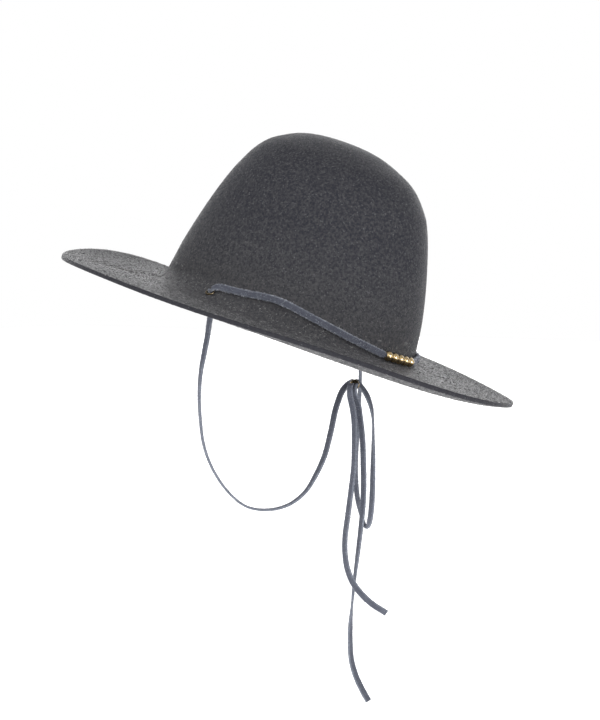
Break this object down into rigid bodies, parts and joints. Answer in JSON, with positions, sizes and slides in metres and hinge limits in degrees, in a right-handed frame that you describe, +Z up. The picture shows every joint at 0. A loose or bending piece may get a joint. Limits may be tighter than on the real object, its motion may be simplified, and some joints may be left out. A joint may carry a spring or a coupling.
{
  "type": "felt hat",
  "caption": "Wide-brimmed felt hat with an open crown, a beaded suede lace round its front, and a hanging suede chin lace with a slide bead.",
  "frame": {"origin": "centre of the head opening at the brim's underside, where the hat sits on a head", "axes": "+Z up, along the way the laces hang; the front of the hat looks along -Y and the wearer's right is -X; the hat itself leans forward and to the wearer's left"},
  "size_m": [0.308, 0.3535, 0.4154],
  "materials": {
    "felt": "matte charcoal melange wool felt",
    "suede": "matte slate grey suede with a short nap",
    "brass": "polished yellow brass"
  },
  "bodies": {
    "root": {"hat_body": "felt", "eyelet_right": "brass", "eyelet_left": "brass", "crown_lace": "suede", "crown_bead_1": "brass", "crown_bead_2": "brass", "crown_bead_3": "brass", "crown_bead_4": "brass", "crown_bead_5": "brass", "chin_lace_right": "suede", "chin_lace_left": "suede", "slide_bead": "brass"}
  },
  "joints": []
}
